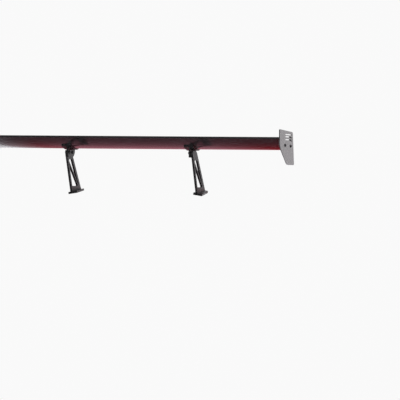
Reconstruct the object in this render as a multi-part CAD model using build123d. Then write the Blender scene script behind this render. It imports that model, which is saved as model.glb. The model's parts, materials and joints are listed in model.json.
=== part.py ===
from build123d import *
import math
import os

# Racing rear wing on two leaning uprights. Millimetres, X to the right seen from behind,
# Y forwards, Z up. Sizes are first counted from the lower rear corner of the uprights, at
# Y 0 and Z 0. The finished pieces are then moved, so that the origin is below the middle of
# the whole object, level with its lowest point.

# Wing section, a highly cambered one, flown upside down
chord = 290.0
camber_share = 0.097
camber_place = 0.45
thickness_factor = 0.20
thickness_fall = 1.6
trailing_half = 1.0
rest_angle = 3.0
trailing_y = -226.0
trailing_z = 270.0
half_span = 808.0
curve_points = 18

# Wing build
skin = 1.6
glue_line = 0.15
nose_bond = 0.012
tail_bond = 0.9
spar_wall = 2.0
main_spar_span = (0.14, 0.235)
rear_spar_span = (0.66, 0.73)
end_rib_width = 14.0
mount_rib_span = (0.245, 0.65)
mount_rib_base = 8.0
mount_rib_web = 8.0
insert_radius = 6.0
gurney_height = 8.0
gurney_wall = 1.2
gurney_leg = 0.955

# Endplate, in its own frame: forwards from its rear edge, downwards from its top edge
endplate_wall = 4.6
endplate_rear_y = trailing_y - 4.0
endplate_top_z = trailing_z + 47.5
endplate_top_fall = 9.0
endplate_height = 176.0
endplate_top_length = 298.0
endplate_low_length = 334.0
endplate_low_rear = 171.0
endplate_knee = 86.0
endplate_corners = (7.0, 16.0, 9.0, 80.0, 54.0)
endplate_bolt_forward = (125.0, 252.0)
endplate_bolt_lift = (2.0, -5.0)
louvre_gap = 4.5
louvre_rear = 130.0
louvre_bend = 222.0
louvre_front = 266.0
louvre_drops = ((21.5, 0.5), (32.5, 6.0), (47.0, 8.0))
hood_drops = (32.5, 47.0)
hood_height = 7.0
hood_depth = 6.0
hood_length = 14.0
hood_wall = 1.5

# Wing bracket: a curved flange under the wing and a web that hangs beside the upright
flange_width = 50.0
flange_wall = 6.5
flange_span = (0.15, 0.69)
bracket_screw_places = (0.285, 0.60)
bracket_screw_spread = 16.0
bracket_head_sink = 3.5
web_wall = 8.5
web_bottom = 174.0
web_corner = 6.0
web_top_places = (0.58, 0.37, 0.17)

# Upright
upright_inner_x = 325.5
upright_wall = 10.0
upright_top = 207.0
upright_rear_top = -104.5
upright_front = (160.0, 14.0)
upright_front_top = -19.5
upright_below = 22.0

# Foot and gasket. Both feet have their wide side to the right.
foot_drop = 5.0
foot_narrow = 16.0
foot_wide_rear = 32.0
foot_wide_front = 20.0
foot_rear = -6.0
foot_front = 173.0
foot_wall = 8.0
foot_roll = 9.0
foot_pitch = math.degrees(math.atan2(upright_front[1], upright_front[0]))
foot_corners = (9.0, 5.0, 14.0, 9.0)
gasket_wall = 2.0
foot_bolt_radius = 3.3
foot_bolt_places = ((18.0, 14.0), (13.5, 150.0))
foot_screw_places = (32.0, 132.0)

# Joint between uprights and wing brackets
pivot_y = -35.0
adjuster_y = -88.0
joint_z = 197.0
lowest_angle = -4.0
highest_angle = 8.0
slot_end_spare = 1.0
slot_side_gap = 0.25
running_gap = 0.05
spacer_wall = 1.0

# Fasteners: shank radius, head radius, head height and key size across flats
m8_flat = (4.0, 8.0, 4.0, 5.0)
m6_button = (3.0, 5.25, 3.3, 4.0)
m6_low_head = (3.0, 5.0, 4.0, 4.0)
thread_clearance = 0.05
m8_washer_radius = 8.0
m6_washer_radius = 8.5
washer_wall = 1.6
nut_across_flats = 13.0
nut_height = 4.0
nut_collar = 0.6
bolt_end = 0.6

web_outer_x = upright_inner_x - spacer_wall - running_gap
web_inner_x = web_outer_x - web_wall
flange_middle_x = (web_outer_x + web_inner_x) / 2
upright_outer_x = upright_inner_x + upright_wall
upright_middle_x = upright_inner_x + upright_wall / 2
inner_fit = skin + glue_line


def camber(x):
    """Height of the camber line at a share x of the chord, counted from the nose."""
    if x < camber_place:
        return camber_share / camber_place**2 * (2 * camber_place * x - x * x)
    rear = (1 - 2 * camber_place) + 2 * camber_place * x - x * x
    return camber_share / (1 - camber_place) ** 2 * rear


def half_thickness(x):
    """Half thickness of the section in millimetres."""
    shape = thickness_factor * math.sqrt(x) * (1 - x) ** thickness_fall
    return chord * shape + trailing_half * x


def section_point(x, side, inset):
    """Point on the upper (side 1) or lower (side -1) surface, moved inwards by inset."""
    forward = chord * (1 - x)
    height = -chord * camber(x) + side * (half_thickness(x) - inset)
    turn = math.radians(rest_angle)
    y = trailing_y + forward * math.cos(turn) + height * math.sin(turn)
    z = trailing_z - forward * math.sin(turn) + height * math.cos(turn)
    return Vector(0, y, z)


def section_curve(x_front, x_rear, side, inset):
    """Spline along one surface of the section, from x_front to x_rear."""
    points = []
    for step in range(curve_points + 1):
        share = (1 - math.cos(math.pi * step / curve_points)) / 2
        points.append(section_point(x_front + (x_rear - x_front) * share, side, inset))
    return Spline(*points)


def strip(x_front, x_rear, edge_a, edge_b):
    """Face between two section curves, each given as (side, inset)."""
    first = section_curve(x_front, x_rear, *edge_a)
    second = section_curve(x_front, x_rear, *edge_b)
    edges = [first, second, Line(first @ 1, second @ 1)]
    if (first @ 0 - second @ 0).length > 0.001:
        edges.append(Line(first @ 0, second @ 0))
    return make_face(edges)


def outline(corners):
    """Face in the YZ plane from (y, z, corner radius), straight sides and round corners."""
    edges = []
    ends = []
    for index, (y, z, radius) in enumerate(corners):
        corner = Vector(0, y, z)
        before = Vector(0, *corners[index - 1][:2]) - corner
        after = Vector(0, *corners[(index + 1) % len(corners)][:2]) - corner
        before = before.normalized()
        after = after.normalized()
        half = math.acos(before.dot(after)) / 2
        start = corner + before * (radius / math.tan(half))
        end = corner + after * (radius / math.tan(half))
        if radius > 0:
            inwards = (before + after).normalized()
            middle = corner + inwards * (radius / math.sin(half) - radius)
            edges.append(ThreePointArc(start, middle, end))
        ends.append((start, end))
    for index, (start, end) in enumerate(ends):
        edges.append(Line(ends[index - 1][1], start))
    return make_face(edges)


def prism(face, x_from, x_to):
    """A face of the YZ plane, extruded along X."""
    return extrude(Pos(x_from, 0, 0) * face, amount=x_to - x_from, dir=(1, 0, 0))


def rod_x(y, z, radius, x_from, x_to):
    """Round bar along X."""
    middle = (x_from + x_to) / 2
    return Pos(middle, y, z) * Rot(0, 90, 0) * Cylinder(radius, abs(x_to - x_from))


def rod_z(radius, z_from, z_to):
    """Round bar along Z at the origin."""
    return Pos(0, 0, (z_from + z_to) / 2) * Cylinder(radius, z_to - z_from)


def socket_screw(sizes, length):
    """Socket screw, head upwards from Z 0, shank downwards."""
    shank_radius, head_radius, head_height, key = sizes
    head = rod_z(head_radius, 0, head_height)
    head = chamfer(head.edges().sort_by(Axis.Z)[-1], head_height / 6)
    socket = extrude(RegularPolygon(key / 2, 6, major_radius=False), amount=head_height * 0.6)
    return head + rod_z(shank_radius, -length, 0) - Pos(0, 0, head_height * 0.4) * socket


def flat_head(radius, head_radius, head_height, spare):
    """Countersunk head from Z 0 downwards, grown by spare."""
    top, low = head_radius + spare, radius + spare
    return Pos(0, 0, -head_height / 2) * Cone(low, top, head_height)


def flat_screw(sizes, length):
    """Countersunk socket screw, face at Z 0, shank downwards."""
    shank_radius, head_radius, head_height, key = sizes
    screw = flat_head(shank_radius, head_radius, head_height, 0) + rod_z(shank_radius, -length, -1)
    socket = extrude(RegularPolygon(key / 2, 6, major_radius=False), amount=head_height)
    return screw - Pos(0, 0, -head_height * 0.7) * socket


def washer(inner, outer, wall):
    """Flat washer from Z 0 upwards."""
    return rod_z(outer, 0, wall) - rod_z(inner, -1, wall + 1)


def lock_nut(bore):
    """Hexagon nut with a round locking collar, from Z 0 upwards."""
    body = extrude(RegularPolygon(nut_across_flats / 2, 6, major_radius=False), amount=nut_height)
    collar = rod_z(nut_across_flats * 0.44, nut_height, nut_height + nut_collar)
    return body + collar - rod_z(bore, -1, nut_height + nut_collar + 1)


def half_shell(side):
    """Upper (side 1) or lower (side -1) skin, split from the other along the camber line."""
    solid = prism(strip(0, 1, (side, 0), (0, 0)), -half_span, half_span)
    cavity = strip(nose_bond, tail_bond, (1, skin), (-1, skin))
    return solid - prism(cavity, -half_span - 1, half_span + 1)


def upper_skin():
    return half_shell(1)


def lower_skin():
    return half_shell(-1) - bracket_screw_holes()


def inner_face(x_front, x_rear, inset=0.0):
    """Face that fills the cavity between two stations, less a glue line and an inset."""
    return strip(x_front, x_rear, (1, inner_fit + inset), (-1, inner_fit + inset))


def spar(span):
    """Closed box spar that fills the height of the cavity."""
    front, rear = span
    wall_share = spar_wall / chord
    hollow = inner_face(front + wall_share, rear - wall_share, spar_wall)
    reach = half_span - end_rib_width - 1.0
    return prism(inner_face(front, rear), -reach, reach) - prism(hollow, -reach - 1, reach + 1)


def gurney_flap():
    """Lip behind the trailing edge, with a leg bonded on the upper skin."""
    leg = strip(gurney_leg, 1, (1, -glue_line), (1, -glue_line - gurney_wall))
    rear = trailing_y - glue_line
    middle_y = rear - gurney_wall / 2
    lip_height = gurney_height + trailing_half
    lip_z = trailing_z - trailing_half + lip_height / 2
    lip = Pos(0, middle_y, lip_z) * Box(2 * half_span, gurney_wall, lip_height)
    bridge_z = trailing_z + trailing_half + glue_line + gurney_wall / 2 + 0.05
    bridge = Pos(0, rear, bridge_z) * Box(2 * half_span, 2 * gurney_wall, gurney_wall)
    return prism(leg, -half_span, half_span) + lip + bridge


def endplate_bolt_points():
    """Bolt axes near the middle of the section's height, inside the end rib."""
    points = []
    for forward, lift in zip(endplate_bolt_forward, endplate_bolt_lift):
        x = 1 - (endplate_rear_y + forward - trailing_y) / chord
        points.append(section_point(x, 0, 0) + Vector(0, 0, lift))
    return points


def end_rib():
    rib = prism(inner_face(nose_bond, tail_bond), half_span - end_rib_width, half_span)
    for point in endplate_bolt_points():
        rib -= rod_x(point.Y, point.Z, insert_radius + thread_clearance, 0, half_span + 1)
    return rib


def endplate_inserts():
    """Threaded sleeves in the end rib."""
    sleeves = []
    for point in endplate_bolt_points():
        sleeve = rod_x(point.Y, point.Z, insert_radius, half_span - end_rib_width, half_span)
        bore = rod_x(point.Y, point.Z, m6_button[0] + thread_clearance, 0, half_span + 1)
        sleeves.append(sleeve - bore)
    return Compound(sleeves)


def louvre(drop, bend_drop):
    """Louvre opening: straight at the rear, its lower edge falls away towards the front."""
    top = endplate_top_z - drop
    low = top - louvre_gap
    return outline(
        [
            (endplate_rear_y + louvre_rear, top, 2.0),
            (endplate_rear_y + louvre_bend + 8, top, 30.0),
            (endplate_rear_y + louvre_front, top - bend_drop * 0.1, 1.5),
            (endplate_rear_y + louvre_front, low - bend_drop, 1.5),
            (endplate_rear_y + louvre_bend, low, 30.0),
            (endplate_rear_y + louvre_rear, low, 2.0),
        ]
    )


def louvre_hood(drop):
    """Small plate behind the front end of a louvre, slanting inwards and backwards."""
    inner = half_span + running_gap
    front = endplate_rear_y + louvre_front
    top = endplate_top_z - drop
    corners = [
        (inner + endplate_wall / 2, front, top),
        (inner + endplate_wall / 2, front + 2 * hood_wall, top),
        (inner, front + 2 * hood_wall, top),
        (inner - hood_depth, front - hood_length, top),
        (inner - hood_depth + hood_wall, front - hood_length, top),
    ]
    return extrude(make_face(Polyline(*corners, close=True)), amount=hood_height, dir=(0, 0, -1))


def endplate():
    top = endplate_top_z
    rear = endplate_rear_y
    inner = half_span + running_gap
    face = outline(
        [
            (rear, top, endplate_corners[0]),
            (rear + endplate_top_length, top - endplate_top_fall, endplate_corners[1]),
            (rear + endplate_low_length, top - endplate_height, endplate_corners[2]),
            (rear + endplate_low_rear, top - endplate_height, endplate_corners[3]),
            (rear, top - endplate_knee, endplate_corners[4]),
        ]
    )
    plate = prism(face, inner, inner + endplate_wall)
    for drop, bend_drop in louvre_drops:
        plate -= prism(louvre(drop, bend_drop), inner - 1, inner + endplate_wall + 1)
    for drop in hood_drops:
        plate += louvre_hood(drop)
    for point in endplate_bolt_points():
        plate -= rod_x(point.Y, point.Z, m6_button[0] + 0.2, 0, inner + 2 * endplate_wall)
    return plate


def endplate_hardware():
    """Bolts and washers on the outer face of the endplate."""
    face_x = half_span + running_gap + endplate_wall
    washers = []
    screws = []
    for point in endplate_bolt_points():
        seat = Pos(face_x, point.Y, point.Z) * Rot(0, 90, 0)
        washers.append(seat * washer(m6_button[0] + 0.2, m6_washer_radius, washer_wall))
        screw = socket_screw(m6_button, washer_wall + endplate_wall + end_rib_width - 1)
        screws.append(seat * Pos(0, 0, washer_wall) * screw)
    return Compound(screws), Compound(washers)


def bracket_screw_seats():
    """Head seats sunk into the flange, Z axis pointing down and square to the skin."""
    seats = []
    for x in bracket_screw_places:
        point = section_point(x, -1, -glue_line - flange_wall + bracket_head_sink)
        ahead = section_point(x - 0.02, -1, 0)
        behind = section_point(x + 0.02, -1, 0)
        slope = math.degrees(math.atan2(ahead.Z - behind.Z, ahead.Y - behind.Y))
        for shift in (-bracket_screw_spread, bracket_screw_spread):
            seats.append(Pos(flange_middle_x + shift, point.Y, point.Z) * Rot(180 + slope, 0, 0))
    return seats


def bracket_screw_holes():
    """Holes and head pockets for the bracket screws, on both sides of the wing."""
    depth = flange_wall + skin + mount_rib_base + 4
    hole = rod_z(m6_button[0] + 0.1, -depth, 5) + rod_z(m6_button[1] + 0.4, 0, 5)
    right = [seat * hole for seat in bracket_screw_seats()]
    return Compound(right + [mirror(hole, about=Plane.YZ) for hole in right])


def mount_rib():
    """Metal tee inside the wing over a bracket, tapped for the bracket's screws."""
    front, rear = mount_rib_span
    base = strip(front, rear, (-1, inner_fit), (-1, inner_fit + mount_rib_base))
    rib = prism(base, flange_middle_x - flange_width / 2, flange_middle_x + flange_width / 2)
    web = prism(
        inner_face(front, rear),
        flange_middle_x - mount_rib_web / 2,
        flange_middle_x + mount_rib_web / 2,
    )
    return rib + web - bracket_screw_holes()


def web_face():
    """Web of the wing bracket, up to the middle of the flange."""
    rear, middle, front = [
        section_point(x, -1, -glue_line - flange_wall / 2) for x in web_top_places
    ]
    return outline(
        [
            (rear.Y, web_bottom, web_corner),
            (rear.Y, rear.Z, 0),
            (middle.Y, middle.Z, 0),
            (front.Y, front.Z, 0),
            (front.Y, 194.0, 22.0),
            (front.Y - 24.0, web_bottom, 14.0),
        ]
    )


def adjuster_slot():
    """Curved slot round the pivot, as long as the range of the wing's angle."""
    start = 180 + lowest_angle - slot_end_spare
    sweep = highest_angle - lowest_angle + 2 * slot_end_spare
    radius = pivot_y - adjuster_y
    slot = SlotArc(CenterArc((0, 0), radius, start, sweep), 2 * (m8_flat[0] + slot_side_gap))
    place = Plane((web_inner_x - 1, pivot_y, joint_z), x_dir=(0, 1, 0), z_dir=(1, 0, 0))
    return extrude(place * slot, amount=web_wall + 2)


def wing_bracket():
    front, rear = flange_span
    flange_face = strip(front, rear, (-1, -glue_line), (-1, -glue_line - flange_wall))
    flange = prism(flange_face, flange_middle_x - flange_width / 2, flange_middle_x + flange_width / 2)
    corners = flange.edges().filter_by(Axis.Z, tolerance=12)
    flange = fillet(corners, 10)
    bracket = flange + prism(web_face(), web_inner_x, web_outer_x)
    bracket -= rod_x(pivot_y, joint_z, m8_flat[0] + thread_clearance, web_inner_x - 1, web_outer_x + 1)
    return bracket - adjuster_slot() - bracket_screw_holes()


def bracket_screws():
    length = flange_wall + skin + mount_rib_base
    return Compound([seat * socket_screw(m6_button, length) for seat in bracket_screw_seats()])


def upright_windows():
    """Two triangular windows that leave a rear strut, a front strut and a diagonal."""
    low = outline([(4.0, 25, 6), (107, 25, 4), (-54.5, 143, 2.5)])
    high = outline([(-67, 160.5, 5), (-3, 160.5, 6), (117, 32, 2.2), (109, 32, 2.2)])
    start, end = upright_inner_x - 1, upright_outer_x + 1
    return prism(low, start, end) + prism(high, start, end)


def upright():
    lean = upright_rear_top / upright_top
    front_lean = (upright_front_top - upright_front[0]) / (upright_top - upright_front[1])
    low = -upright_below
    profile = outline(
        [
            (lean * low, low, 0),
            (upright_rear_top, upright_top, 10),
            (upright_front_top, upright_top, 38),
            (upright_front[0] + front_lean * (low - upright_front[1]), low, 0),
        ]
    )
    plate = prism(profile, upright_inner_x, upright_outer_x) - upright_windows()
    for y in (pivot_y, adjuster_y):
        hole = m8_flat[0] + thread_clearance
        plate -= rod_x(y, joint_z, hole, upright_inner_x - 1, upright_outer_x + 1)
        seat = Pos(upright_outer_x, y, joint_z) * Rot(0, 90, 0)
        plate -= seat * flat_head(*m8_flat[:3], thread_clearance)
    below_foot = foot_frame() * Pos(0, 80, -40) * Box(120, 400, 80)
    return plate - below_foot - foot_screw_holes()


def foot_frame():
    """Top face of the foot: pitched up forwards and rolled down outwards."""
    return Pos(upright_middle_x, 0, -foot_drop) * Rot(foot_pitch, foot_roll, 0)


def foot_slab(z_from, z_to, wide):
    """Tapered plan in the foot's frame, wide outboard (1) or inboard (-1), with bolt holes."""
    corners = [
        (-foot_narrow, foot_rear, foot_corners[0]),
        (foot_wide_rear, foot_rear, foot_corners[1]),
        (foot_wide_front, foot_front, foot_corners[2]),
        (-foot_narrow, foot_front, foot_corners[3]),
    ]
    plan = Plane.YZ.to_local_coords(outline([(wide * x, y, radius) for x, y, radius in corners]))
    slab = extrude(Pos(0, 0, z_from) * plan, amount=z_to - z_from, dir=(0, 0, 1))
    for x, y in foot_bolt_places:
        slab -= Pos(wide * x, y, 0) * rod_z(foot_bolt_radius, z_from - 1, z_to + 1)
    return foot_frame() * slab


def feet(wide):
    """Foot and gasket under one upright."""
    return {
        "foot": foot_slab(-foot_wall, 0, wide) - foot_screw_holes(),
        "foot_gasket": foot_slab(-foot_wall - gasket_wall, -foot_wall, wide),
    }


def foot_screw_seats():
    """Head seats inside the foot, Z axis pointing down in the plane of the upright."""
    frame = Pos(upright_middle_x, 0, -foot_drop) * Rot(foot_pitch, 0, 0)
    return [frame * Pos(0, y, -2.6) * Rot(180, 0, 0) for y in foot_screw_places]


def foot_screw_holes():
    """Shank holes upwards and head pockets downwards."""
    shank = rod_z(m6_low_head[0] + thread_clearance, -22, 1)
    pocket = rod_z(m6_low_head[1] + 0.6, 0, 20)
    return Compound([seat * (shank + pocket) for seat in foot_screw_seats()])


def foot_screws():
    return Compound([seat * socket_screw(m6_low_head, 20) for seat in foot_screw_seats()])


def joint_hardware(y):
    """Countersunk bolt from outside, washer and nut inside, a spacer between the plates."""
    bore = m8_flat[0] + thread_clearance
    outer_seat = Pos(upright_outer_x, y, joint_z) * Rot(0, 90, 0)
    inner_seat = Pos(web_inner_x - running_gap, y, joint_z) * Rot(0, -90, 0)
    nut_depth = washer_wall + nut_height + nut_collar
    length = upright_outer_x - web_inner_x + running_gap + nut_depth + bolt_end
    bolt = outer_seat * flat_screw(m8_flat, length)
    flat = inner_seat * washer(bore, m8_washer_radius, washer_wall)
    nut = inner_seat * Pos(0, 0, washer_wall) * lock_nut(bore)
    spacer_seat = Pos(upright_inner_x - spacer_wall, y, joint_z) * Rot(0, 90, 0)
    spacer = spacer_seat * washer(bore, m8_washer_radius, spacer_wall)
    return bolt, nut, flat, spacer


def right_side():
    """Every piece of the right side but the foot and its gasket, by name."""
    screws, washers = endplate_hardware()
    pieces = {
        "end_rib": end_rib(),
        "endplate_inserts": endplate_inserts(),
        "endplate": endplate(),
        "endplate_screws": screws,
        "endplate_washers": washers,
        "mount_rib": mount_rib(),
        "wing_bracket": wing_bracket(),
        "bracket_screws": bracket_screws(),
        "upright": upright(),
        "foot_screws": foot_screws(),
    }
    for name, y in (("pivot", pivot_y), ("adjuster", adjuster_y)):
        bolt, nut, flat, spacer = joint_hardware(y)
        pieces[f"{name}_bolt"] = bolt
        pieces[f"{name}_nut"] = nut
        pieces[f"{name}_washer"] = flat
        pieces[f"{name}_spacer"] = spacer
    return pieces


def all_pieces():
    pieces = {
        "upper_skin": upper_skin(),
        "lower_skin": lower_skin(),
        "gurney_flap": gurney_flap(),
        "main_spar": spar(main_spar_span),
        "rear_spar": spar(rear_spar_span),
    }
    for name, piece in right_side().items():
        pieces[f"{name}_right"] = piece
        pieces[f"{name}_left"] = mirror(piece, about=Plane.YZ)
    for name, piece in feet(1).items():
        pieces[f"{name}_right"] = piece
    for name, piece in feet(-1).items():
        pieces[f"{name}_left"] = mirror(piece, about=Plane.YZ)
    return pieces


def main():
    pieces = all_pieces()
    box = Compound(list(pieces.values())).bounding_box()
    to_origin = Pos(0, -(box.min.Y + box.max.Y) / 2, -box.min.Z)
    os.makedirs("parts", exist_ok=True)
    for name, piece in pieces.items():
        export_step(to_origin * piece, f"parts/{name}.step")
    pivot = to_origin * Pos(0, pivot_y, joint_z)
    foot = to_origin * foot_frame() * Pos(0, 0, -foot_wall - gasket_wall)
    print("pivot axis through", pivot.position)
    print("right foot underside at", foot.position, "turned", foot.orientation)
    print("whole size", box.size)


main()
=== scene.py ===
import bmesh
import bpy
import json
import math
from mathutils import Matrix, Vector


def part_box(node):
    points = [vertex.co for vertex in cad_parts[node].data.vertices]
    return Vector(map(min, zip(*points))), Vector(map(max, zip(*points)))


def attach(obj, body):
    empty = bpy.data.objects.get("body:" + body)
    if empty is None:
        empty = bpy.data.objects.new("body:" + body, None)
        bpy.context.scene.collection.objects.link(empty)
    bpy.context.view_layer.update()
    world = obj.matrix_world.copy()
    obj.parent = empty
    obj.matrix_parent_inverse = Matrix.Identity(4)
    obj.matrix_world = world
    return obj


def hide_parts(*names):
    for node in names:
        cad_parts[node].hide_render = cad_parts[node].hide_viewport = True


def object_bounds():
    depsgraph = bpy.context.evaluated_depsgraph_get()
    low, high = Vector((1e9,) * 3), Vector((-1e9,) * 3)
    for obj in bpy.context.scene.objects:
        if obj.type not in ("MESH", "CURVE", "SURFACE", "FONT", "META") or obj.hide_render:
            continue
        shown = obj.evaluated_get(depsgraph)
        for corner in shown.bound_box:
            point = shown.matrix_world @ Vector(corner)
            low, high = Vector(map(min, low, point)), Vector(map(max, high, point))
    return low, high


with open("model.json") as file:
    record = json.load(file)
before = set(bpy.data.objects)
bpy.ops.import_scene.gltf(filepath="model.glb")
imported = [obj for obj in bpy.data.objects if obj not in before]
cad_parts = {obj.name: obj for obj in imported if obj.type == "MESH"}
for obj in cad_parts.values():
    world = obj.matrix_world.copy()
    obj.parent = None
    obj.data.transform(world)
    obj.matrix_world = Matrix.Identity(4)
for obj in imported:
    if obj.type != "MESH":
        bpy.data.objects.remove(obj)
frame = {"nodes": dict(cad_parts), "record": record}
cad_bounds = [list(corner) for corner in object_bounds()]

# Metres, in the frame of the CAD: X to the right seen from behind, Y forwards, Z up.
MM = 0.001

# Wing section, the same formula as the CAD's
CHORD = 0.290
CAMBER_SHARE = 0.097
CAMBER_PLACE = 0.45
THICKNESS_FACTOR = 0.20
THICKNESS_FALL = 1.6
TRAILING_HALF = 1.0 * MM
REST_ANGLE = math.radians(3.0)
SKIN_WALL = 1.6 * MM
NOSE_BOND = 0.012
TAIL_BOND = 0.9
SKIN_EDGE = 0.25 * MM
SECTION_STEPS = 90
CAVITY_STEPS = 40
TAIL_STEPS = 6
NOSE_STEPS = 3
ORIGIN_STEPS = 400

# Endplate, forwards from its rear edge and downwards from its top edge. The radii are those of
# its corners, from the top rear one over the front and round to the rear knee.
PLATE_WALL = 4.6 * MM
PLATE_TOP_LENGTH = 0.298
PLATE_LOW_LENGTH = 0.334
PLATE_LOW_REAR = 0.171
PLATE_TOP_FALL = 0.009
PLATE_KNEE = 0.086
PLATE_RADII = (0.007, 0.016, 0.009, 0.080, 0.054)
PLATE_HOLE = 3.2 * MM
PLATE_EDGE = 0.7 * MM

# Louvres: where each starts, bends and ends, then how far down it lies and drops at its front
LOUVRE_GAP = 4.5 * MM
LOUVRE_REAR = 0.130
LOUVRE_BEND = 0.222
LOUVRE_BEND_AHEAD = 8.0 * MM
LOUVRE_FRONT = 0.266
LOUVRE_REAR_RADIUS = 2.0 * MM
LOUVRE_BEND_RADIUS = 30.0 * MM
LOUVRE_FRONT_RADIUS = 1.5 * MM
LOUVRE_UPPER_SHARE = 0.1
LOUVRES = ((0.0215, 0.0005), (0.0325, 0.006), (0.047, 0.008))
HOODED_LOUVRES = LOUVRES[1:]
HOOD_HEIGHT = 7.0 * MM
HOOD_DEPTH = 6.0 * MM
HOOD_LENGTH = 14.0 * MM
HOOD_WALL = 1.5 * MM

# Rounding
CAD_EDGE = 0.45 * MM
SMALL_EDGE = 0.2 * MM
EDGE_ANGLE = 35.0
WELD_DISTANCE = 0.01 * MM
ARC_STEPS = 14
CIRCLE_STEPS = 40

# Looks: the blue in a grey, the weave's tows, and how convex a surface is where its wear
# starts and where it is full
BLUE_SHARE = 1.03
TOW_WIDTH = 2.0 * MM
TWILL_REPEAT = 4.0
TWILL_OVER = 1.5
WEAR_RANGE = (0.53, 0.62)

# World light: two values of the direction's Z or Y, then the light's share at each of them.
# The strip is a soft band overhead, and its width counts from STRIP_PLACE in the direction's Y.
BACKGROUND = 0.95
WORLD_BY_HEIGHT = (0.1, 0.8, 1.0, 0.5)
WORLD_BY_DEPTH = (-0.7, 0.5, 0.12, 0.72)
WORLD_FILL = (0.12, 0.45, 0.0, 0.85)
WORLD_TINT = (1.0, 0.96, 0.985, 1.0)
STRIP_PLACE = 0.3
STRIP_BY_WIDTH = (0.0, 0.3, 2.4, 0.0)
STRIP_BY_HEIGHT = (0.3, 0.7, 0.0, 1.0)

# Lamps: name, place, size and power
LAMP_AIM = (0.0, 0.0, 0.2)
LAMPS = (
    ("overhead", (0.4, 0.5, 2.6), (3.0, 1.6), 60.0),
    ("side", (3.2, -1.8, 1.6), (1.6, 1.6), 25.0),
)

# Floor: it fades out between these distances, and between these shares of a grazing view
FLOOR_REACH = 8.0
FLOOR_FADE = (1.6, 4.5)
FLOOR_GRAZING = (0.93, 0.985)

# Reflected card: colours near the feet, ahead of them, to both sides, and at its left end. The
# fades lie between two places in X. The levels are the share of the card's length, and how much
# of the colour ahead shows there.
CARD_NEAR = (0.06, 0.028, 0.038, 1.0)
CARD_AHEAD = (0.62, 0.22, 0.28, 1.0)
CARD_SIDE = (0.42, 0.018, 0.032, 1.0)
CARD_END = (0.75, 0.68, 0.74, 1.0)
CARD_RIGHT_FADE = (0.32, 0.62)
CARD_LEFT_FADE = (-0.45, -0.68)
CARD_END_FADE = (-0.60, -0.82)
CARD_SIDES = (-0.8, 0.8)
CARD_START = -0.25
CARD_LENGTH = 2.6
CARD_LOW = 0.01
CARD_RISE = 0.30
CARD_STEPS = 16
CARD_UPRIGHT_END = 0.25
CARD_LEVELS = ((0.10, 0.0), (0.24, 0.9), (0.45, 0.8), (1.0, 0.45))

# Camera, at the place the object is seen from in the photograph
CAMERA_PLACE = (4.0256, -14.47, 0.0573)
CAMERA_YAW = 14.2246
CAMERA_PITCH = -0.2936
CAMERA_ROLL = 0.6292
CAMERA_LENS = 266.0
CAMERA_REACH = 200.0
SENSOR_WIDTH = 36.0


# ---------------------------------------------------------------- shaders


class Shader:
    """Builds the node tree of one material or world, its owner."""

    def __init__(self, owner):
        self.owner = owner
        owner.use_nodes = True
        self.tree = owner.node_tree
        self.tree.nodes.clear()

    def node(self, kind, inputs=None, **settings):
        made = self.tree.nodes.new(kind)
        for key, value in settings.items():
            setattr(made, key, value)
        for key, value in (inputs or {}).items():
            self.feed(made.inputs[key], value)
        return made

    def feed(self, socket, value):
        if isinstance(value, bpy.types.NodeSocket):
            self.tree.links.new(value, socket)
        else:
            socket.default_value = value

    def math(self, operation, *values):
        return self.node("ShaderNodeMath", dict(enumerate(values)), operation=operation).outputs[0]

    def product(self, *values):
        return self.math("MULTIPLY", *values)

    def parts(self, vector):
        return self.node("ShaderNodeSeparateXYZ", {"Vector": vector}).outputs

    def coordinates(self, scale=(1, 1, 1)):
        place = self.node("ShaderNodeTexCoord").outputs["Object"]
        return self.node("ShaderNodeMapping", {"Vector": place, "Scale": scale}).outputs[0]

    def noise(self, vector, scale, detail):
        inputs = {"Vector": vector, "Scale": scale, "Detail": detail}
        return self.node("ShaderNodeTexNoise", inputs).outputs["Fac"]

    def spread(self, value, low, high):
        """Maps 0..1 to low..high."""
        inputs = {"Value": value, "To Min": low, "To Max": high}
        return self.node("ShaderNodeMapRange", inputs).outputs[0]

    def fade(self, value, start, end):
        """Rises from 0 to 1 while the value goes from start to end."""
        inputs = {"Value": value, "From Min": start, "From Max": end}
        return self.node("ShaderNodeMapRange", inputs).outputs[0]

    def soft_fade(self, value, start, end, low, high):
        """Goes softly from low to high while the value goes from start to end."""
        inputs = {"Value": value, "From Min": start, "From Max": end, "To Min": low, "To Max": high}
        return self.node("ShaderNodeMapRange", inputs, interpolation_type="SMOOTHSTEP").outputs[0]

    def blend_colour(self, share, first, second):
        """First colour at share 0, second at 1. The mix node keeps colours in sockets 6 and 7."""
        mix = self.node("ShaderNodeMix", {"Factor": share}, data_type="RGBA")
        self.feed(mix.inputs[6], first)
        self.feed(mix.inputs[7], second)
        return mix.outputs[2]

    def bump(self, height, strength, distance):
        inputs = {"Height": height, "Strength": strength, "Distance": distance}
        return self.node("ShaderNodeBump", inputs).outputs[0]

    def finish(self, **inputs):
        """Principled surface with the given inputs, named with _ for a space."""
        named = {key.replace("_", " "): value for key, value in inputs.items()}
        return self.end(self.node("ShaderNodeBsdfPrincipled", named))

    def finish_mix(self, share, first, second, output="ShaderNodeOutputMaterial"):
        """Mix of two surfaces: the first at share 0, the second at share 1."""
        inputs = {0: share, 1: first.outputs[0], 2: second.outputs[0]}
        return self.end(self.node("ShaderNodeMixShader", inputs), output)

    def end(self, surface, output="ShaderNodeOutputMaterial"):
        self.node(output, {0: surface.outputs[0]})
        return self.owner


def new_shader(name):
    return Shader(bpy.data.materials.new(name))


def grey(level):
    """A grey with a trace of blue."""
    return (level, level, level * BLUE_SHARE, 1.0)


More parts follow.
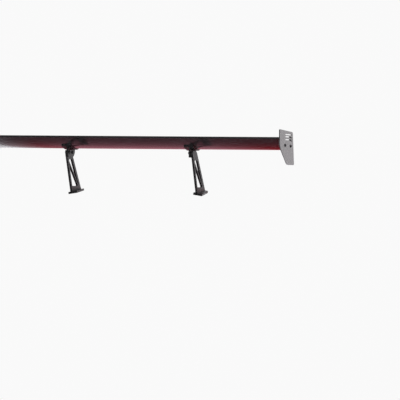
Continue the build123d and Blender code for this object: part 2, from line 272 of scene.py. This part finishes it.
def twill(shader, across, along):
    """2x2 twill: returns the mask of the tows that run along, and the height of the cloth."""
    column = shader.math("DIVIDE", across, TOW_WIDTH)
    row = shader.math("DIVIDE", along, TOW_WIDTH)
    cell = shader.math("ADD", shader.math("FLOOR", column), shader.math("FLOOR", row))
    step = shader.math("FLOORED_MODULO", cell, TWILL_REPEAT)
    warp = shader.math("LESS_THAN", step, TWILL_OVER)
    weft = shader.math("SUBTRACT", 1.0, warp)
    crown_warp = shader.math("ABSOLUTE", shader.math("SINE", shader.product(column, math.pi)))
    crown_weft = shader.math("ABSOLUTE", shader.math("SINE", shader.product(row, math.pi)))
    height = shader.math("ADD", shader.product(warp, crown_warp), shader.product(weft, crown_weft))
    return warp, height


def carbon_axes(shader, from_uv):
    """Cloth coordinates in metres: the UV layer of a sheet, or the object's own place."""
    if from_uv:
        vector = shader.node("ShaderNodeUVMap", uv_map="cloth").outputs[0]
        parts = shader.parts(vector)
        return vector, parts[0], parts[1]
    vector = shader.coordinates()
    parts = shader.parts(vector)
    return vector, parts[0], shader.math("ADD", parts[1], parts[2])


def carbon(name, from_uv, glossy):
    """Twill carbon, under a clear coat when glossy, with painted shading on its tows."""
    shader = new_shader(name)
    vector, across, along = carbon_axes(shader, from_uv)
    warp, height = twill(shader, across, along)
    fibre = shader.noise(vector, scale=2600.0, detail=2.0)
    fibre_depth = shader.spread(fibre, low=0.75, high=1.25)
    # Painted shade: the colour darkens to 0.55 of its value towards each tow's edges, in the
    # creases between tows; the fibre noise beside it is random tone.
    depth = shader.product(fibre_depth, shader.spread(height, low=0.55, high=1.0))
    # Painted shading: warp tows take a lighter and weft tows a darker copy of the same black,
    # standing for how light falls on tows that run two ways.
    cloth = shader.blend_colour(warp, grey(0.013), grey(0.032))
    colour = shader.node("ShaderNodeHueSaturation", {"Color": cloth, "Value": depth}).outputs[0]
    relief = shader.math("ADD", height, shader.spread(fibre, low=0.0, high=0.15))
    weave = shader.bump(relief, strength=0.55, distance=0.12 * MM)
    quarter_turn = 0.25
    rotation = shader.product(warp, quarter_turn)
    place = shader.coordinates()
    waves = shader.noise(place, scale=55.0, detail=1.0)
    ripple = shader.bump(waves, strength=0.05, distance=0.6 * MM)
    haze = shader.spread(shader.noise(place, scale=9.0, detail=4.0), low=0.012, high=0.05)
    return shader.finish(
        Base_Color=colour,
        Metallic=0.12 if glossy else 0.05,
        Roughness=0.34 if glossy else 0.55,
        Anisotropic=0.7,
        Anisotropic_Rotation=rotation,
        Normal=weave,
        Coat_Weight=1.0 if glossy else 0.15,
        Coat_Roughness=haze if glossy else 0.3,
        Coat_IOR=1.5,
        Coat_Normal=ripple,
        Specular_IOR_Level=0.2 if glossy else 0.3,
    )


def worn_edges(shader, colour, edge_colour, amount):
    """Lets a paler colour show where the surface is most convex."""
    sharp = shader.node("ShaderNodeNewGeometry").outputs["Pointiness"]
    patchy = shader.noise(shader.coordinates(), scale=160.0, detail=4.0)
    worn = shader.product(shader.fade(sharp, *WEAR_RANGE), patchy)
    return shader.blend_colour(shader.product(worn, amount), colour, edge_colour)


def black_anodised():
    """Satin black anodised plate: fine blasted grain, drawn lines and paler edges."""
    shader = new_shader("black_anodised")
    place = shader.coordinates()
    drawn = shader.coordinates(scale=(1.0, 12.0, 1.2))
    lines = shader.noise(drawn, scale=160.0, detail=3.0)
    mottle = shader.noise(place, scale=24.0, detail=4.0)
    base = shader.blend_colour(mottle, grey(0.014), grey(0.026))
    colour = worn_edges(shader, base, edge_colour=grey(0.16), amount=0.8)
    blasted = shader.noise(place, scale=2400.0, detail=2.0)
    line_share = 0.8
    grain = shader.math("ADD", blasted, shader.product(lines, line_share))
    return shader.finish(
        Base_Color=colour,
        Metallic=0.1,
        Specular_IOR_Level=0.3,
        Roughness=shader.spread(lines, low=0.30, high=0.44),
        IOR=1.45,
        Normal=shader.bump(grain, strength=0.22, distance=0.05 * MM),
    )


def bare_aluminium():
    """Machined aluminium with fine cutting lines."""
    shader = new_shader("bare_aluminium")
    cuts = shader.noise(shader.coordinates(scale=(30.0, 1.0, 1.0)), scale=90.0, detail=2.0)
    return shader.finish(
        Base_Color=shader.blend_colour(cuts, grey(0.58), grey(0.74)),
        Metallic=1.0,
        Roughness=shader.spread(cuts, low=0.22, high=0.38),
        Normal=shader.bump(cuts, strength=0.2, distance=0.04 * MM),
    )


def black_steel():
    """Black oxide on steel: slightly mottled, bright where tools have touched."""
    shader = new_shader("black_steel")
    mottle = shader.noise(shader.coordinates(), scale=420.0, detail=4.0)
    base = shader.blend_colour(mottle, grey(0.022), grey(0.05))
    return shader.finish(
        Base_Color=worn_edges(shader, base, edge_colour=grey(0.35), amount=0.9),
        Metallic=0.5,
        Specular_IOR_Level=0.3,
        Roughness=shader.spread(mottle, low=0.34, high=0.50),
        Normal=shader.bump(mottle, strength=0.15, distance=0.03 * MM),
    )


def rubber():
    """Matte sheet rubber with a fine grain."""
    shader = new_shader("rubber_sheet")
    grain = shader.noise(shader.coordinates(), scale=1500.0, detail=3.0)
    return shader.finish(
        Base_Color=shader.blend_colour(grain, grey(0.010), grey(0.020)),
        Roughness=shader.spread(grain, low=0.7, high=0.9),
        Normal=shader.bump(grain, strength=0.4, distance=0.08 * MM),
    )


# ---------------------------------------------------------------- wing section


def camber(x):
    """Camber line at a share x of the chord, counted from the nose."""
    if x < CAMBER_PLACE:
        return CAMBER_SHARE / CAMBER_PLACE**2 * (2 * CAMBER_PLACE * x - x * x)
    rear = (1 - 2 * CAMBER_PLACE) + 2 * CAMBER_PLACE * x - x * x
    return CAMBER_SHARE / (1 - CAMBER_PLACE) ** 2 * rear


def section_point(x, side, inset):
    """Point (forwards, up) from the trailing edge, at a share x of the chord from the nose.

    Side is 1 for the upper surface, -1 for the lower one and 0 for the camber line, and inset is
    the depth under the surface.
    """
    half = CHORD * THICKNESS_FACTOR * math.sqrt(x) * (1 - x) ** THICKNESS_FALL + TRAILING_HALF * x
    forward = CHORD * (1 - x)
    height = -CHORD * camber(x) + side * (half - inset)
    turned_y = forward * math.cos(REST_ANGLE) + height * math.sin(REST_ANGLE)
    turned_z = -forward * math.sin(REST_ANGLE) + height * math.cos(REST_ANGLE)
    return turned_y, turned_z


def section_run(x_from, x_to, side, inset, steps):
    """Points along one surface, closer together at both ends."""
    run = []
    for step in range(steps + 1):
        share = (1 - math.cos(math.pi * step / steps)) / 2
        run.append(section_point(x_from + (x_to - x_from) * share, side, inset))
    return run


def wing_origin():
    """Place (forwards, up) of the trailing edge, from the CAD skins' boxes."""
    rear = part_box("upper_skin")[0][1]
    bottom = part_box("lower_skin")[0][2]
    lower_surface = section_run(0, 1, -1, 0, ORIGIN_STEPS)
    lowest = min(point[1] for point in lower_surface)
    return rear - section_point(1, 0, 0)[0], bottom - lowest


# ---------------------------------------------------------------- mesh building


def new_object(name, data):
    made = bpy.data.objects.new(name, data)
    bpy.context.scene.collection.objects.link(made)
    return made


def smooth_shading(piece):
    piece.data.polygons.foreach_set("use_smooth", [True] * len(piece.data.polygons))


def weld_points(piece):
    """Joins points that lie in one place."""
    weld = piece.modifiers.new("weld", "WELD")
    weld.merge_threshold = WELD_DISTANCE


def soften(piece, width, angle=EDGE_ANGLE):
    """Small rounded edges, where faces meet at more than the angle, with clean shading."""
    smooth_shading(piece)
    bevel = piece.modifiers.new("edges", "BEVEL")
    bevel.width = width
    bevel.segments = 2
    bevel.limit_method = "ANGLE"
    bevel.angle_limit = math.radians(angle)
    bevel.harden_normals = True
    bevel.use_clamp_overlap = True
    normals = piece.modifiers.new("normals", "WEIGHTED_NORMAL")
    normals.keep_sharp = True


def prism_faces(count):
    """Faces between two rings of vertices: the sides first, then both ends."""
    sides = [(i, (i + 1) % count, (i + 1) % count + count, i + count) for i in range(count)]
    return sides + [tuple(reversed(range(count))), tuple(range(count, 2 * count))]


def extruded_loop(name, loop, lengths, x_from, x_to):
    """Closed solid from a closed (y, z) loop along X, with cloth coordinates in metres."""
    count = len(loop)
    verts = [(x, y, z) for x in (x_from, x_to) for y, z in loop]
    mesh = bpy.data.meshes.new(name)
    mesh.from_pydata(verts, [], prism_faces(count))
    layer = mesh.uv_layers.new(name="cloth")
    # The side that closes the loop would otherwise run the cloth back over its whole length.
    last_side = count - 1
    for polygon in mesh.polygons:
        for corner in polygon.loop_indices:
            vertex = mesh.loops[corner].vertex_index
            place = lengths[vertex % count]
            if polygon.index == last_side and vertex % count == 0:
                place = lengths[-1]
            layer.data[corner].uv = (verts[vertex][0], place)
    mesh.validate()
    mesh.update()
    return new_object(name, mesh)


def running_length(loop):
    """Distance along a loop up to each of its points."""
    total = [0.0]
    for before, after in zip(loop, loop[1:]):
        total.append(total[-1] + math.dist(before, after))
    return total


def skin(name, side, node):
    """Upper or lower half of the wing, split along the camber line."""
    outer = section_run(0, 1, side, 0, SECTION_STEPS)
    tail = section_run(1, TAIL_BOND, 0, 0, TAIL_STEPS)
    inner = section_run(TAIL_BOND, NOSE_BOND, side, SKIN_WALL, CAVITY_STEPS)
    nose = section_run(NOSE_BOND, 0, 0, 0, NOSE_STEPS)
    loop = outer + tail + inner + nose[:-1]
    origin_y, origin_z = wing_origin()
    placed = [(y + origin_y, z + origin_z) for y, z in loop]
    low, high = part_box(node)
    if side > 0:
        placed.reverse()
    piece = extruded_loop(name, placed, running_length(placed), low[0], high[0])
    soften(piece, SKIN_EDGE, angle=40.0)
    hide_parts(node)
    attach(piece, "wing")
    return piece


def rounded(corners):
    """Outline points from (y, z, radius) corners."""
    points = []
    for index, (y, z, radius) in enumerate(corners):
        corner = Vector((y, z))
        before = (Vector(corners[index - 1][:2]) - corner).normalized()
        after = (Vector(corners[(index + 1) % len(corners)][:2]) - corner).normalized()
        half = before.angle(after) / 2
        reach = radius / math.tan(half)
        centre = corner + (before + after).normalized() * (radius / math.sin(half))
        start = corner + before * reach - centre
        end = corner + after * reach - centre
        turn = start.angle_signed(end)
        for step in range(ARC_STEPS + 1):
            swung = start.copy()
            swung.rotate(Matrix.Rotation(-turn * step / ARC_STEPS, 2))
            points.append(tuple(centre + swung))
    return points


def circle(y, z, radius):
    """Points of a round hole."""
    angles = [2 * math.pi * step / CIRCLE_STEPS for step in range(CIRCLE_STEPS)]
    return [(y + radius * math.cos(a), z + radius * math.sin(a)) for a in angles]


def sheet(name, loops, x_low, x_high, edge):
    """Flat plate in the YZ plane from an outline and its holes, with rounded edges."""
    curve = bpy.data.curves.new(name, "CURVE")
    curve.dimensions = "2D"
    curve.fill_mode = "BOTH"
    curve.extrude = (x_high - x_low) / 2 - edge
    curve.bevel_depth = edge
    curve.bevel_resolution = 2
    curve.offset = -edge
    for loop in loops:
        spline = curve.splines.new("POLY")
        spline.points.add(len(loop) - 1)
        spline.use_cyclic_u = True
        for point, (y, z) in zip(spline.points, loop):
            point.co = (y, z, 0, 1)
    drawn = new_object(name + "_outline", curve)
    bpy.context.view_layer.update()
    evaluated = drawn.evaluated_get(bpy.context.evaluated_depsgraph_get())
    mesh = bpy.data.meshes.new_from_object(evaluated)
    bpy.data.objects.remove(drawn)
    middle = (x_low + x_high) / 2
    # The curve's own X and Y become Y and Z.
    upright = Matrix(((0, 0, 1, middle), (1, 0, 0, 0), (0, 1, 0, 0), (0, 0, 0, 1)))
    mesh.transform(upright)
    mesh.name = name
    layer = mesh.uv_layers.new(name="cloth")
    for loop in mesh.loops:
        place = mesh.vertices[loop.vertex_index].co
        layer.data[loop.index].uv = (place.y, place.z + place.x)
    piece = new_object(name, mesh)
    weld_points(piece)
    smooth_shading(piece)
    normals = piece.modifiers.new("normals", "WEIGHTED_NORMAL")
    normals.mode = "FACE_AREA"
    return piece


# ---------------------------------------------------------------- pieces


def louvre(rear, top, drop, bend_drop):
    """Outline of a slot that widens downwards ahead of its bend."""
    upper = top - drop
    lower = upper - LOUVRE_GAP
    start, bend, front = rear + LOUVRE_REAR, rear + LOUVRE_BEND, rear + LOUVRE_FRONT
    return rounded(
        [
            (start, upper, LOUVRE_REAR_RADIUS),
            (bend + LOUVRE_BEND_AHEAD, upper, LOUVRE_BEND_RADIUS),
            (front, upper - bend_drop * LOUVRE_UPPER_SHARE, LOUVRE_FRONT_RADIUS),
            (front, lower - bend_drop, LOUVRE_FRONT_RADIUS),
            (bend, lower, LOUVRE_BEND_RADIUS),
            (start, lower, LOUVRE_REAR_RADIUS),
        ]
    )


def rear_and_front_centres(node):
    """Centres (y, z) of the rear and the front solid of a CAD node that has two."""
    mesh = frame["nodes"][node].data
    low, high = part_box(node)
    middle = (low[1] + high[1]) / 2
    centres = []
    for keep in (lambda y: y < middle, lambda y: y >= middle):
        own = [v.co for v in mesh.vertices if keep(v.co.y)]
        ys = [c.y for c in own]
        zs = [c.z for c in own]
        centres.append(((min(ys) + max(ys)) / 2, (min(zs) + max(zs)) / 2))
    return centres


def louvre_hood(outer_x, outwards, front, top):
    """Small slanting plate behind the front end of a louvre, as vertices and faces."""
    inner_x = outer_x - outwards * PLATE_WALL
    corners = [
        (inner_x + outwards * PLATE_WALL / 2, front),
        (inner_x + outwards * PLATE_WALL / 2, front + 2 * HOOD_WALL),
        (inner_x, front + 2 * HOOD_WALL),
        (inner_x - outwards * HOOD_DEPTH, front - HOOD_LENGTH),
        (inner_x - outwards * (HOOD_DEPTH - HOOD_WALL), front - HOOD_LENGTH),
    ]
    verts = [(x, y, z) for z in (top, top - HOOD_HEIGHT) for x, y in corners]
    faces = prism_faces(len(corners))
    if outwards < 0:
        faces = [tuple(reversed(face)) for face in faces]
    return verts, faces


def add_to_mesh(mesh, verts, faces):
    """Appends a closed shell to a mesh, as its second material."""
    grown = bmesh.new()
    grown.from_mesh(mesh)
    layer = grown.loops.layers.uv["cloth"]
    placed = [grown.verts.new(vert) for vert in verts]
    for face in faces:
        made = grown.faces.new([placed[index] for index in face])
        made.material_index = 1
        for corner in made.loops:
            place = corner.vert.co
            corner[layer].uv = (place.y + place.x, place.z)
    grown.to_mesh(mesh)
    grown.free()


def endplate(side):
    """Plate with its louvres, their hoods and its two bolt holes."""
    node = "endplate_" + side
    outwards = 1 if side == "right" else -1
    low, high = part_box(node)
    outer_x = high[0] if side == "right" else low[0]
    across = sorted((outer_x, outer_x - outwards * PLATE_WALL))
    rear, top, bottom = low[1], high[2], low[2]
    outline = rounded(
        [
            (rear, top, PLATE_RADII[0]),
            (rear + PLATE_TOP_LENGTH, top - PLATE_TOP_FALL, PLATE_RADII[1]),
            (rear + PLATE_LOW_LENGTH, bottom, PLATE_RADII[2]),
            (rear + PLATE_LOW_REAR, bottom, PLATE_RADII[3]),
            (rear, top - PLATE_KNEE, PLATE_RADII[4]),
        ]
    )
    loops = [outline]
    for drop, bend_drop in LOUVRES:
        loops.append(louvre(rear, top, drop, bend_drop))
    for y, z in rear_and_front_centres("endplate_washers_" + side):
        loops.append(circle(y, z, PLATE_HOLE))
    piece = sheet("endplate_sheet_" + side, loops, across[0], across[1], PLATE_EDGE)
    for drop, bend_drop in HOODED_LOUVRES:
        hood = louvre_hood(outer_x, outwards, rear + LOUVRE_FRONT, top - drop)
        add_to_mesh(piece.data, *hood)
    smooth_shading(piece)
    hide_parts(node)
    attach(piece, "wing")
    return piece


def use_material(piece, *materials):
    """Sets a mesh's first materials; which face takes which is kept."""
    for number, material in enumerate(materials):
        if number < len(piece.data.materials):
            piece.data.materials[number] = material
        else:
            piece.data.materials.append(material)


def dress_cad_nodes(materials):
    """Gives every carried-over CAD node its material and small rounded edges."""
    slots = {part["node"]: part["material_slot"] for part in frame["record"]["subparts"]}
    rebuilt = ("upper_skin", "lower_skin", "endplate_left", "endplate_right")
    for name, piece in frame["nodes"].items():
        if name in rebuilt:
            continue
        slot = slots[name]
        use_material(piece, materials[slot])
        small = slot == "black_steel" or name == "gurney_flap"
        weld_points(piece)
        soften(piece, SMALL_EDGE if small else CAD_EDGE)


# ---------------------------------------------------------------- stage


def world_light():
    """Soft studio light, brightest ahead of the wing and overhead, on a plain white background."""
    world = bpy.data.worlds.new("studio")
    bpy.context.scene.world = world
    shader = Shader(world)
    direction = shader.parts(shader.node("ShaderNodeTexCoord").outputs["Generated"])
    up, ahead = direction["Z"], direction["Y"]
    by_depth = shader.soft_fade(ahead, *WORLD_BY_DEPTH)
    depth = shader.math("MAXIMUM", by_depth, shader.soft_fade(up, *WORLD_FILL))
    even = shader.product(shader.soft_fade(up, *WORLD_BY_HEIGHT), depth)
    from_strip = shader.math("ABSOLUTE", shader.math("SUBTRACT", ahead, STRIP_PLACE))
    by_width = shader.soft_fade(from_strip, *STRIP_BY_WIDTH)
    strip = shader.product(by_width, shader.soft_fade(up, *STRIP_BY_HEIGHT))
    light = {"Color": WORLD_TINT, "Strength": shader.math("ADD", even, strip)}
    studio = shader.node("ShaderNodeBackground", light)
    white = {"Color": (1, 1, 1, 1), "Strength": BACKGROUND}
    plain = shader.node("ShaderNodeBackground", white)
    seen = shader.node("ShaderNodeLightPath").outputs["Is Camera Ray"]
    shader.finish_mix(seen, studio, plain, "ShaderNodeOutputWorld")


def strip_mesh(name, rows, sides, material):
    """Sheet through (y, z) rows, as wide as the two sides in X, as a piece of the stage."""
    verts = [(x, y, z) for y, z in rows for x in sides]
    faces = [(2 * i, 2 * i + 1, 2 * i + 3, 2 * i + 2) for i in range(len(rows) - 1)]
    mesh = bpy.data.meshes.new(name)
    mesh.from_pydata(verts, [], faces)
    piece = new_object(name, mesh)
    use_material(piece, material)
    return piece


def floor():
    """Pale floor, hidden far off, from below, and where the view grazes it."""
    shader = new_shader("floor_pale")
    hit = shader.node("ShaderNodeNewGeometry").outputs
    speck = shader.noise(shader.coordinates(), scale=40.0, detail=3.0)
    colour = shader.blend_colour(speck, grey(0.80), grey(0.84))
    surface = shader.node("ShaderNodeBsdfDiffuse", {"Color": colour})
    clear = shader.node("ShaderNodeBsdfTransparent")
    place = {0: hit["Position"]}
    distance = shader.node("ShaderNodeVectorMath", place, operation="LENGTH").outputs["Value"]
    slant = shader.node("ShaderNodeLayerWeight", {"Blend": 0.5}).outputs["Facing"]
    far_or_below = shader.math("MAXIMUM", shader.fade(distance, *FLOOR_FADE), hit["Backfacing"])
    hidden = shader.math("MAXIMUM", far_or_below, shader.fade(slant, *FLOOR_GRAZING))
    material = shader.finish_mix(hidden, surface, clear)
    ground = cad_bounds[0][2]
    rows = [(-FLOOR_REACH, ground), (FLOOR_REACH, ground)]
    strip_mesh("floor", rows, (-FLOOR_REACH, FLOOR_REACH), material)


def seen_from(shader, hit):
    """Distance aside and height of the place that light from here goes to."""
    length = shader.node("ShaderNodeLightPath").outputs["Ray Length"]
    towards = {0: hit["Incoming"], "Scale": length}
    back = shader.node("ShaderNodeVectorMath", towards, operation="SCALE").outputs[0]
    both = {0: hit["Position"], 1: back}
    start = shader.parts(shader.node("ShaderNodeVectorMath", both, operation="ADD").outputs[0])
    return shader.math("ABSOLUTE", start["X"]), start["Z"]


def card_colour(shader, aside, depth):
    """Dark near the feet, dusty red ahead, deeper red to the sides and grey at the left end."""
    to_right = shader.fade(aside, *CARD_RIGHT_FADE)
    to_left = shader.fade(aside, *CARD_LEFT_FADE)
    red = shader.blend_colour(shader.math("MAXIMUM", to_left, to_right), CARD_AHEAD, CARD_SIDE)
    ahead = shader.blend_colour(shader.fade(aside, *CARD_END_FADE), red, CARD_END)
    ramp = shader.node("ShaderNodeValToRGB", {"Fac": depth})
    stops = ramp.color_ramp.elements
    for number, (position, level) in enumerate(CARD_LEVELS):
        stop = stops[number] if number < 2 else stops.new(position)
        stop.position = position
        stop.color = (level, level, level, 1.0)
    return shader.blend_colour(ramp.outputs[0], CARD_NEAR, ahead)


def bounce_card():
    """Red sheet ahead of the feet, where the car would be, seen only as a reflection."""
    shader = new_shader("bounce_red")
    hit = shader.node("ShaderNodeNewGeometry").outputs
    place = shader.parts(hit["Position"])
    from_start = shader.math("SUBTRACT", place["Y"], CARD_START)
    depth = shader.math("DIVIDE", from_start, CARD_LENGTH)
    glow = shader.node("ShaderNodeEmission", {"Color": card_colour(shader, place["X"], depth)})
    clear = shader.node("ShaderNodeBsdfTransparent")
    aside, height = seen_from(shader, hit)
    under_wing = shader.math("LESS_THAN", aside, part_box("lower_skin")[1][0])
    over_uprights = shader.math("GREATER_THAN", height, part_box("upright_right")[1][2])
    from_wing = shader.product(under_wing, over_uprights)
    within_feet = shader.math("LESS_THAN", aside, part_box("foot_right")[1][0])
    near = shader.math("LESS_THAN", depth, CARD_UPRIGHT_END)
    from_upright = shader.product(within_feet, near)
    shown = shader.math("MAXIMUM", from_wing, from_upright)
    material = shader.finish_mix(shown, clear, glow)
    shares = [step / CARD_STEPS for step in range(CARD_STEPS + 1)]
    rows = [(CARD_START + CARD_LENGTH * s, CARD_LOW + CARD_RISE * s * s) for s in shares]
    piece = strip_mesh("bounce_card", rows, CARD_SIDES, material)
    piece.visible_camera = False
    piece.visible_diffuse = False
    piece.visible_shadow = False
    piece.visible_transmission = False


def soft_light(name, place, size, power):
    """Area lamp that the gloss doesn't reflect."""
    data = bpy.data.lights.new(name, "AREA")
    data.shape = "RECTANGLE"
    data.size, data.size_y = size
    data.energy = power
    lamp = new_object(name, data)
    lamp.location = place
    lamp.visible_glossy = False
    towards = Vector(LAMP_AIM) - Vector(place)
    lamp.rotation_euler = towards.to_track_quat("-Z", "Y").to_euler()


def camera():
    """Long lens, at the photograph's viewing angle."""
    data = bpy.data.cameras.new("camera")
    data.lens = CAMERA_LENS
    data.sensor_width = SENSOR_WIDTH
    data.clip_end = CAMERA_REACH
    view = new_object("camera", data)
    turn = (
        Matrix.Rotation(math.radians(CAMERA_YAW), 4, "Z")
        @ Matrix.Rotation(math.radians(90 + CAMERA_PITCH), 4, "X")
        @ Matrix.Rotation(math.radians(CAMERA_ROLL), 4, "Z")
    )
    view.matrix_world = Matrix.Translation(CAMERA_PLACE) @ turn
    bpy.context.scene.camera = view


# ---------------------------------------------------------------- the scene

carbon_sheet = carbon("carbon_gloss_sheet", from_uv=True, glossy=True)
materials = {
    "carbon_gloss": carbon("carbon_gloss", from_uv=False, glossy=True),
    "carbon_structure": carbon("carbon_structure", from_uv=False, glossy=False),
    "black_anodised": black_anodised(),
    "bare_aluminium": bare_aluminium(),
    "black_steel": black_steel(),
    "rubber": rubber(),
}

dress_cad_nodes(materials)
use_material(skin("wing_upper_shell", 1, "upper_skin"), carbon_sheet)
use_material(skin("wing_lower_shell", -1, "lower_skin"), carbon_sheet)
for side in ("left", "right"):
    use_material(endplate(side), carbon_sheet, materials["carbon_structure"])

bpy.context.scene.view_settings.view_transform = "Standard"
world_light()
floor()
bounce_card()
for lamp in LAMPS:
    soft_light(*lamp)
camera()
